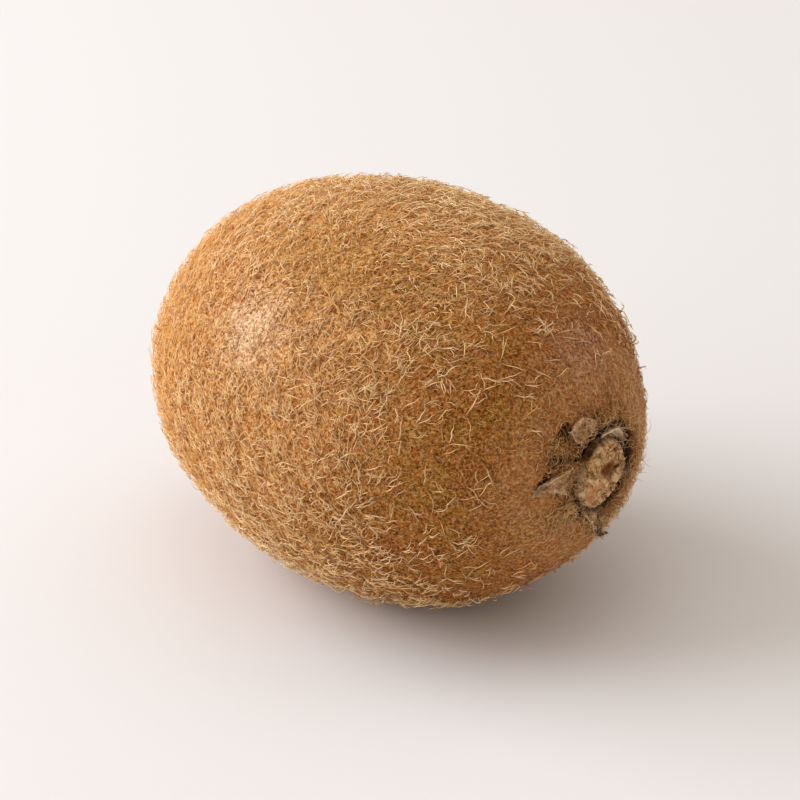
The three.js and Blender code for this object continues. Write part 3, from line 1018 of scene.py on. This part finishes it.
def make_sepals(tree, felt):
    material = sepal_material()
    shared = (material, felt, tree)
    make_sepal(
        "sepal_front", *shared, width=3.8 * MM, waist=(0, 0.95), curl=0.4, seed=1.3, height=0.25,
        aside=-0.75 * MM, gap=0.25 * MM, felt_tone=0.6)
    make_sepal(
        "sepal_upper_front", *shared, width=4.2 * MM, waist=(0.3, 1.3), curl=0.9, seed=2.9, neck=0.5,
        gap=0.6 * MM, aside=0.6 * MM)
    make_sepal(
        "sepal_upper_back", *shared, width=5.4 * MM, waist=(0.3, 1.3), curl=0.6, seed=4.1, neck=0.9,
        height=1.3, aside=-0.8 * MM, felt_tone=0.65)
    make_sepal("sepal_back", *shared, width=3.6 * MM, waist=(0, 1), curl=0.3, seed=5.6)
    make_sepal(
        "sepal_lower", *shared, width=6.4 * MM, waist=(0.1, 0.5), curl=0.7, seed=7.2, height=0.75,
        felt_tone=0.5)


# ------------ Blossom end: the dried styles ------------

def style_material():
    shader = Shader("dried_style")
    grain = shader.noise(1800, detail=3)
    colour = shader.ramp(grain, (0.3, 58, 38, 24), (0.55, 104, 74, 48), (0.75, 142, 108, 74))
    return shader.finish(Base_Color=colour, Roughness=0.8, Normal=shader.bump(grain, 0.5, 0.08 * MM))


def make_styles():
    """A low cushion on the beak, with a crown of thin dried styles that curl outwards from it."""
    material = style_material()
    radius = (TUFT_HIGH.y - TUFT_LOW.y) / 2 * 0.72
    cushion = new_form(
        "style_cushion", bpy.ops.mesh.primitive_uv_sphere_add, segments=48, ring_count=24, radius=radius,
        location=(TUFT_HIGH.x, 0, AXIS), rotation=(0, math.pi / 2, 0))
    bpy.ops.transform.resize(value=(0.42, 1, 1))
    bpy.ops.object.transform_apply(location=True, rotation=True, scale=True)
    with editing(cushion):
        number_in_order()
    roughen(cushion, size=0.7 * MM, strength=0.3 * MM)
    bpy.ops.object.shade_smooth()
    settle(cushion, material, "styles", "style_tuft")

    draw = Draw(seed=14, count=26)
    way = np.linspace(0, 2 * np.pi, draw.count, endpoint=False) + draw.bell(0, 0.15)
    out = radius * draw.even(0.25, 0.8)
    base = np.full(draw.count, TUFT_HIGH.x - radius * 0.25)
    roots = np.column_stack([base, out * np.cos(way), AXIS + out * np.sin(way)])
    lean = draw.even(0.5, 1.3) * 0.6
    normals = np.column_stack([-np.cos(lean), np.sin(lean) * np.cos(way), np.sin(lean) * np.sin(way)])
    styles = Hairs(
        roots, normals, 8, draw.rng, heading=draw.bell(0, 0.5), length=draw.mm(1.2, 2.2),
        bend=draw.bell(0, 1), kink=draw.even(0.1, 0.3), lift=draw.mm(0.1, 0.4), rise=draw.mm(0.4, 1.2),
        width=draw.mm(0.22, 0.34), tone=draw.even(0.1, 0.5))
    settle(styles.mesh("dried_styles"), material, "styles", "style_tuft")


# ------------ Floor, lights and camera ------------

LAMP_DISTANCE = 0.9
CAMERA_DISTANCE = 0.4


def make_floor():
    floor = new_form("floor", bpy.ops.mesh.primitive_plane_add, size=6)
    shader = Shader("pale_floor")
    floor.data.materials.append(shader.finish(Base_Color=paint(229, 226, 225), Roughness=0.9))


def aim(thing, target):
    thing.rotation_mode = "QUATERNION"
    thing.rotation_quaternion = (Vector(target) - thing.location).to_track_quat("-Z", "Y")


def make_lamp(name, azimuth, elevation, size, power, colour=(1, 1, 1)):
    lamp = bpy.data.lights.new(name, "AREA")
    lamp.color = colour
    lamp.size = size
    lamp.energy = power
    thing = new_object(name, lamp)
    thing.location = direction(azimuth, elevation) * LAMP_DISTANCE
    aim(thing, (0, 0, AXIS))


def direction(azimuth, elevation):
    """From the fruit towards a point round it. Azimuth 0 is towards -Y, and 90 towards +X."""
    a, e = math.radians(azimuth), math.radians(elevation)
    return Vector((math.sin(a) * math.cos(e), -math.cos(a) * math.cos(e), math.sin(e)))


def make_lights():
    make_lamp("key_light", -59, 33, 0.75, 8.4, (0.885, 0.935, 1))
    make_lamp("fill_light", -28, 14, 0.9, 2.8)
    make_lamp("back_light", 165, 50, 0.7, 0.8, (1, 0.97, 0.93))
    make_lamp("top_light", -90, 82, 0.7, 1.4, (1, 0.95, 0.9))
    world = bpy.data.worlds.new("studio")
    bpy.context.scene.world = world
    world.use_nodes = True
    sockets = world.node_tree.nodes["Background"].inputs
    sockets["Color"].default_value = (1, 0.915, 0.82, 1)
    sockets["Strength"].default_value = 0.48


def make_camera():
    camera = new_object("camera", bpy.data.cameras.new("camera"))
    middle = Vector((0, 0, 24.2 * MM))
    camera.location = middle + direction(40, 28) * CAMERA_DISTANCE
    aim(camera, middle)
    camera.data.lens = 147.9
    camera.data.shift_x = 0.0128
    camera.data.shift_y = -0.0225
    bpy.context.scene.camera = camera
    bpy.context.scene.view_settings.view_transform = "Standard"


make_camera()
make_floor()
make_lights()
skin = make_skin()
smooth_skin = BVHTree.FromPolygons(points_of(skin.data).tolist(), triangles_of(skin.data).tolist())
sink_seat(skin.data)
ground = Ground(skin)
hair = hair_material("kiwi_hair", GOLDEN, paint(182, 94, 36))
make_stubble(ground, hair)
make_down(ground, hair)
make_long_hairs(ground, hair_material("long_kiwi_hair", GOLDEN, paint(182, 94, 36), gloss=0.45))
make_seat_fringe(ground, hair_material("seat_hair", BROWN, paint(168, 108, 54)))
felt = hair_material("sepal_felt", TAN, paint(160, 116, 70))
make_button(felt)
make_sepals(smooth_skin, felt)
make_styles()
